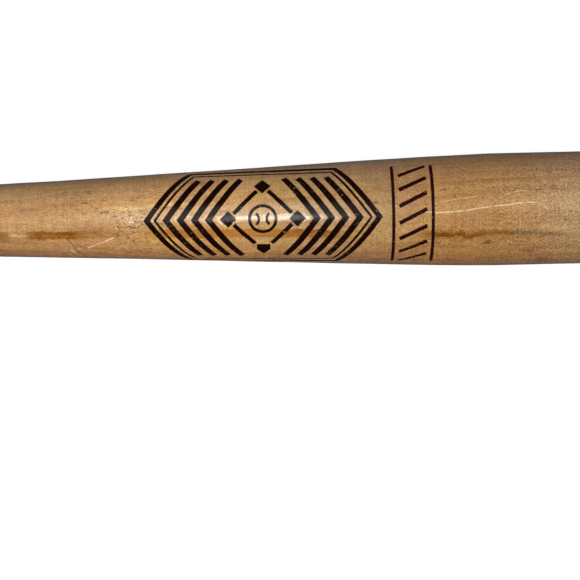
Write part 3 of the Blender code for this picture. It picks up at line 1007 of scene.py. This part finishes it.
def add_streak(sh, s, arc_length):
    """How strongly the amber streak shows, how light it is, and how strongly its dark core shows."""
    ragged = sh.ripple(240, 560, 5, 0.9) * STREAK_RAGGED
    off = add_offset(sh, s, arc_length, STREAK_LINE, ragged)
    off *= sh.smooth(s, s_at(380), s_at(425), 1, 0.8)
    band = sh.smooth(off, 0.0014, 0.0023, 1, 0) * sh.smooth(off, -0.003, -0.0014)
    light = add_strength(sh, s, STREAK_LIGHT) - sh.smooth(off, 0, 0.0016, 0, 0.2)
    torn = sh.ripple(620, 1100, 3, 0.8) * CORE_RAGGED
    away = sh.math("ABSOLUTE", add_offset(sh, s, arc_length, CORE_LINE, torn))
    core = sh.smooth(away, 0.0008, 0.0013, 1, 0)
    return band * add_strength(sh, s, STREAK_STRENGTH), light, core * add_strength(sh, s, CORE_STRENGTH)


def add_rings(sh, x):
    """Where the dark early wood of the growth rings comes to the surface."""
    warp = sh.vector("SUBTRACT", sh.noise(5, 24, output=1), (0.5, 0.5, 0.5))
    bent = sh.vector("ADD", sh.place, sh.vector("SCALE", warp, RING_WARP))
    _, bent_y, bent_z = sh.split(bent)
    off_z = bent_z - PITH_Z + x * PITH_DRIFT
    from_pith = sh.math("SQRT", (bent_y - PITH_Y) ** 2 + off_z**2)
    ring = sh.math("FRACT", from_pith / RING_WIDTH)
    return sh.smooth(ring, 0, 0.12) * sh.smooth(ring, 0.18, 0.62, 1, 0)


def add_flecks(sh, along, across, low, high, many):
    """Short flecks along the grain, thicker where many is high."""
    return sh.smooth(sh.noise(along, across, 2, 0.6) - sh.scaled(many, 0, 1, low, high), 0, 0.05)


def make_wood():
    """Lacquered wood: growth rings, fibre, pores, turning lines, an amber streak and wear."""
    sh = Shader(bpy.data.materials.new("lacquered_wood"))
    x, y, z = sh.split(sh.place)
    radius = sh.math("SQRT", y**2 + z**2)
    arc_length = sh.math("ARCTAN2", y, z) * radius
    barrel = sh.smooth(x, 0.45, 0.54)

    # Tone along the grain, with painted reflection and shade by side, and pale places partly painted as a
    # highlight
    early = add_rings(sh, x)
    fibre = sh.ripple(22, 620, 4, 0.65)
    broad = sh.ripple(6, 105, 3, 0.5)
    dark = sh.scaled(early * 0.24 + 0.2 + fibre * 0.2 + broad * 0.3, 0, 1)
    hue = sh.noise(14, 70, 2, 0.55) * 0.7 + sh.noise(75, 150)
    rosy = sh.smooth(hue, 0.87, 1.05, 0, 0.8)
    yellow = sh.smooth(hue, 0.67, 0.85, 1, 0)
    colour = sh.mix(dark, PALE_WOOD, DARK_WOOD)
    colour = sh.mix(rosy, colour, sh.mix(dark, ROSY_WOOD, DARK_WOOD))
    colour = sh.mix(yellow, colour, sh.mix(dark, YELLOW_WOOD, DARK_WOOD))
    side = y / radius
    lower = sh.smooth(side, -0.95, -0.35, 1, 0)
    # Painted reflection on the upper side and painted shade on the lower side
    colour = sh.mix(sh.smooth(side, 0.35, 0.95), colour, PAINTED_COOL_REFLECTION, "MULTIPLY")
    colour = sh.mix(lower, colour, PAINTED_WARM_SHADE, "MULTIPLY")
    # Pale places of the wood, and a painted highlight line in the two long streaks
    colour = sh.mix(sh.scaled(sh.spots(PALE), 0, 1, 0, 0.8), colour, PALE_YELLOW_AND_HIGHLIGHT)

    # Fine speckle of the sealed grain, turning lines round the bat, and the tone along the bat, partly the
    # wood's own and partly painted light: brighter near the highlight's halo, darker towards the barrel, and
    # greyer at its end as a painted sheen
    speckle = sh.ripple(1100, 1350, 2, 0.8)
    mottle = sh.ripple(320, 450, 3, 0.65)
    turning = sh.ripple(1300, 18, 2, 0.7)
    blotch = sh.ripple(38, 60, 3, 0.6)
    grooved = sh.smooth(sh.noise(16, 55), 0.4, 0.6, 0.25, 1) + sh.spots(GROOVED)
    level = speckle * sh.scaled(barrel, 0, 1, 0.27, 0.44)
    level += mottle * sh.scaled(barrel, 0, 1, 0.12, 0.06)
    level += turning * grooved * 0.12
    level += blotch * sh.scaled(barrel, 0, 1, 0.06, 0.03)
    level *= sh.scaled(lower, 0, 1, 1, 1.4)
    shade = sh.vector("ADD", sh.vector("SCALE", (1, 1.15, 1.5), level), (1, 1, 1))
    shade = sh.vector("MAXIMUM", shade, (DARKEST_SHADE,) * 3)
    colour = sh.mix(1, colour, shade, "MULTIPLY")
    # Painted light along the bat, together with the wood's own tone: brighter near the highlight's halo,
    # darker towards the barrel, and greyer at its end as a painted sheen
    tone = add_strength(sh, x, TONE_AND_PAINTED_LIGHT) - sh.spots(SHADED) * 0.2
    warmth = add_strength(sh, x, WARMTH_AND_PAINTED_SHEEN)
    green = tone * sh.scaled(warmth, 0, 1, 1.12, 0.93)
    blue = tone * sh.scaled(warmth, 0, 1, 1.45, 0.8)
    tint = sh.add("CombineXYZ", {0: tone, 1: green, 2: blue})
    colour = sh.mix(1, colour, tint, "MULTIPLY")

    # Pores as short dark flecks along the grain, in rows, and pitted and chalky places
    rows = sh.smooth(sh.noise(10, 190, 3, 0.6), 0.46, 0.66)
    fleck = add_flecks(sh, 330, 2100, 0.76, 0.575, sh.math("MAXIMUM", rows, sh.spots(FLECKED)))
    pit = add_flecks(sh, 800, 1000, 0.78, 0.555, sh.spots(PITTED))
    bright = add_flecks(sh, 650, 900, 0.78, 0.535, sh.spots(CHALKY) + barrel * 0.38)
    colour = sh.mix(bright * 0.34, colour, SCRAPED)
    colour = sh.mix(sh.math("MAXIMUM", fleck, pit) * 0.8, colour, PORE)

    # The amber streak, with a dark ragged core towards the barrel, and stains
    streak, light, core = add_streak(sh, x, arc_length)
    uneven = fibre + mottle + speckle
    streak *= sh.scaled(uneven, -1.6, 0.8, 0.84, 1)
    light = sh.scaled(light + uneven * 0.42, 0, 1)
    colour = sh.mix(streak, colour, sh.mix(light, AMBER, LIGHT_AMBER))
    core *= sh.scaled(uneven, -1.2, 1.2, 1, 0.8)
    grey_end = sh.smooth(x, s_at(508), s_at(524))
    colour = sh.mix(core, colour, sh.mix(grey_end, CORE_BROWN, CORE_GREY))
    stain = sh.spots(STAINED)
    stained = sh.smooth(stain + (mottle + blotch) * 0.22, 0.15, 0.95, 0, 0.8)
    colour = sh.mix(stained * sh.smooth(stain, 0.02, 0.3), colour, STAIN_BROWN)

    # Soil that handling has left
    soil = sh.smooth(sh.noise(30, 85, 4, 0.7), 0.52, 0.78)
    colour = sh.mix(soil * sh.scaled(barrel, 0, 1, 0.28, 0.5), colour, SOIL)

    # Scratches to bare wood, the crack, and the darker end grain
    broken = sh.smooth(sh.noise(420, 420), 0.38, 0.5, 0.35, 1)
    colour = sh.mix(sh.smooth(sh.mark("scratch"), 0.05, 0.75) * broken, colour, SCRAPED)
    colour = sh.mix(sh.smooth(sh.mark("crack"), 0.05, 0.75, 0, 0.8), colour, CRACK_DARK)
    normal = sh.add("NewGeometry", {}, "Normal")
    end = sh.smooth(sh.math("ABSOLUTE", sh.split(normal)[0]), 0.55, 0.95)
    colour = sh.mix(end * 0.6, colour, sh.mix(early, END_GRAIN, DARK_WOOD))

    # Lacquer, worn to a satin in places
    worn = sh.smooth(sh.noise(45, 110, 3, 0.6), 0.4, 0.7)
    grain = fibre * 0.3 + fleck * -1 + turning * 0.3
    coat = fibre * 0.05 + mottle * 0.09 + speckle * 0.12 + fleck * -0.5
    surface = {
        "Base Color": colour,
        "Roughness": sh.scaled(worn, 0, 1, 0.38, 0.58),
        "Normal": sh.bump(grain, 0.5),
        "Specular IOR Level": 0.2,
        "Coat Weight": 1,
        "Coat Roughness": 0.08,
        "Coat IOR": 1.5,
        "Coat Normal": sh.bump(coat, 1),
    }
    sh.fill(sh.nodes["Principled BSDF"], surface)
    return sh.owner


def make_foil(name, colour):
    """Hot-pressed pigment foil with worn flecks where the wood shows through."""
    sh = Shader(bpy.data.materials.new(name))
    tone = sh.noise(160, 220, 3, 0.6)
    lighter = tuple(channel * 1.9 for channel in colour[:3]) + (1,)
    specks = sh.noise(620, 1100, 3, 0.7)
    level = sh.smooth(sh.noise(55, 90), 0.4, 0.68, 0.69, 0.595)
    gone = sh.smooth(specks - level, 0, 0.035)
    rough = sh.bump(specks + gone * -0.8, 0.8)
    surface = {
        "Base Color": sh.mix(gone * 0.8, sh.mix(sh.scaled(tone, 0.3, 0.7), colour, lighter), WORN_FOIL),
        "Roughness": sh.scaled(tone, 0.3, 0.7, 0.34, 0.5),
        "Normal": rough,
        "Specular IOR Level": 0.05,
        "Coat Weight": 0.22,
        "Coat Roughness": 0.08,
        "Coat Normal": rough,
    }
    sh.fill(sh.nodes["Principled BSDF"], surface)
    return sh.owner


def make_floor():
    """A pale floor that keeps the bat's shadow, shown nearly white to the camera."""
    sh = Shader(bpy.data.materials.new("pale_floor"))
    surface = sh.nodes["Principled BSDF"]
    sh.fill(surface, {"Base Color": grey(FLOOR_GREY), "Roughness": 0.9, "Specular IOR Level": 0})
    seen = sh.add("LightPath", {}, "Is Camera Ray")
    glow = sh.add("Emission", {"Color": grey(1), "Strength": seen * FLOOR_GLOW})
    both = sh.add("AddShader", {0: Value(sh, surface.outputs[0]), 1: glow})
    sh.fill(sh.nodes["Material Output"], {"Surface": both})
    return sh.owner


# Floor, lights and world
FLOOR_GREY = 0.14
FLOOR_GLOW = 0.96
FLOOR_HALF = 6
FLOOR_SLOPE = 0.00346
FLOOR_GAP = 0.00002
KEY_TURN = math.radians(-5)
KEY_S = 0.31
KEY_DISTANCE = 0.6
KEY_SIZE = 0.25
KEY_POWER = 1.8
# Lamps that are seen mirrored in the lacquer: (name, pixel of the image, distance, along, across, power)
MIRRORED = (
    ("shine", (270, 218), 0.5, 0.026, 0.06, 0.4),
    ("glow", (236, 213), 0.5, 0.18, 0.32, 0.49),
    ("sheen", (640, 199), 0.6, 0.16, 0.56, 0.3),
)
END_LIGHT_OUT = 0.8
END_LIGHT_UP = 0.35
END_LIGHT_SIZE = 0.4
END_LIGHT_POWER = 1.6
FILL = 0.1
SLOPE_STEP = 0.001


def add_floor():
    """A large floor, sloped slightly so that it touches both the knob and the barrel."""
    corners = []
    for x, y in ((-1, -1), (1, -1), (1, 1), (-1, 1)):
        x *= FLOOR_HALF
        height = -KNOB_RADIUS - FLOOR_GAP - FLOOR_SLOPE * (x - RIM_END)
        corners.append((x, y * FLOOR_HALF, height))
    mesh = bpy.data.meshes.new("floor")
    mesh.from_pydata(corners, [], [(0, 1, 2, 3)])
    mesh.materials.append(make_floor())
    floor = add_object("floor", mesh)


def add_area_light(name, target, way, distance, along, across, power, glossy=True):
    """A rectangular light that faces the target from the given way, and is mirrored where glossy."""
    data = bpy.data.lights.new(name, "AREA")
    data.shape = "RECTANGLE"
    data.size = along
    data.size_y = across
    data.energy = power
    side = Vector((0, 1, 0)).cross(way).normalized()
    light = add_object(name, data, target + way * distance, (side, way.cross(side), way))
    light.visible_camera = False
    light.visible_glossy = glossy


def mirrored(pixel):
    """The wood's place at a pixel, and the way from there to what the camera sees mirrored in it."""
    s, turn = wood_at(pixel)
    slope = float(radius_at(s + SLOPE_STEP) - radius_at(s - SLOPE_STEP)) / (2 * SLOPE_STEP)
    normal = Vector((-slope, math.sin(turn), math.cos(turn))).normalized()
    spot = Vector(point_at(s, turn))
    to_camera = (CAMERA_PLACE - spot).normalized()
    return spot, normal * (2 * normal.dot(to_camera)) - to_camera


def add_lights():
    """A soft key, lamps mirrored where the photograph shows them, and a weak light at each end."""
    way = Vector((0, math.sin(KEY_TURN), math.cos(KEY_TURN)))
    add_area_light("key", ALONG * KEY_S, way, KEY_DISTANCE, KEY_SIZE, KEY_SIZE, KEY_POWER, False)
    for name, pixel, *rest in MIRRORED:
        add_area_light(name, *mirrored(pixel), *rest)
    for name, s, out in (("knob_light", 0, -1), ("barrel_light", BAT_LENGTH, 1)):
        way = Vector((out * END_LIGHT_OUT, 0, END_LIGHT_UP))
        sizes = (END_LIGHT_SIZE, END_LIGHT_SIZE)
        add_area_light(name, ALONG * s, way.normalized(), way.length, *sizes, END_LIGHT_POWER, False)


def set_world():
    """A plain pale surround, white to the camera."""
    world = bpy.data.worlds.new("surround")
    bpy.context.scene.world = world
    sh = Shader(world)
    seen = sh.add("LightPath", {}, "Is Camera Ray")
    sh.fill(sh.nodes["Background"], {"Color": grey(1), "Strength": sh.scaled(seen, 0, 1, FILL)})


# Making

bpy.context.scene.view_settings.view_transform = "Standard"
add_camera()

(place_s, turn, radius, length, lift), faces = build_wood()
lift = lift + unevenness(place_s, turn)
flat = np.stack([place_s, turn * FLAT_RADIUS], axis=1)
on_body = (place_s > PATCH_START) & (place_s < PATCH_END)
worn = {}
for name, lines in (("scratch", SCRATCHES), ("crack", CRACKS)):
    worn[name], depth = worn_lines(flat, lines) * on_body
    lift -= depth
points = on_wood(place_s, turn, radius + lift)
wood = add_piece("bat_wood", points, faces, make_wood(), "wood", ["billet"])
for name, strength in worn.items():
    values = wood.data.attributes.new(name, "FLOAT", "POINT").data
    values.foreach_set("value", strength.astype(np.float32))
add_bake_map(wood.data, place_s, turn, radius, length)

for slot, colour, marks in (("black_foil", BLACK, BLACK_MARKS), ("maroon_foil", MAROON, MAROON_MARKS)):
    foil = make_foil(slot, colour)
    for name, closed, drawing in marks:
        add_foil(name, closed, drawing, foil, slot)

add_floor()
add_lights()
set_world()
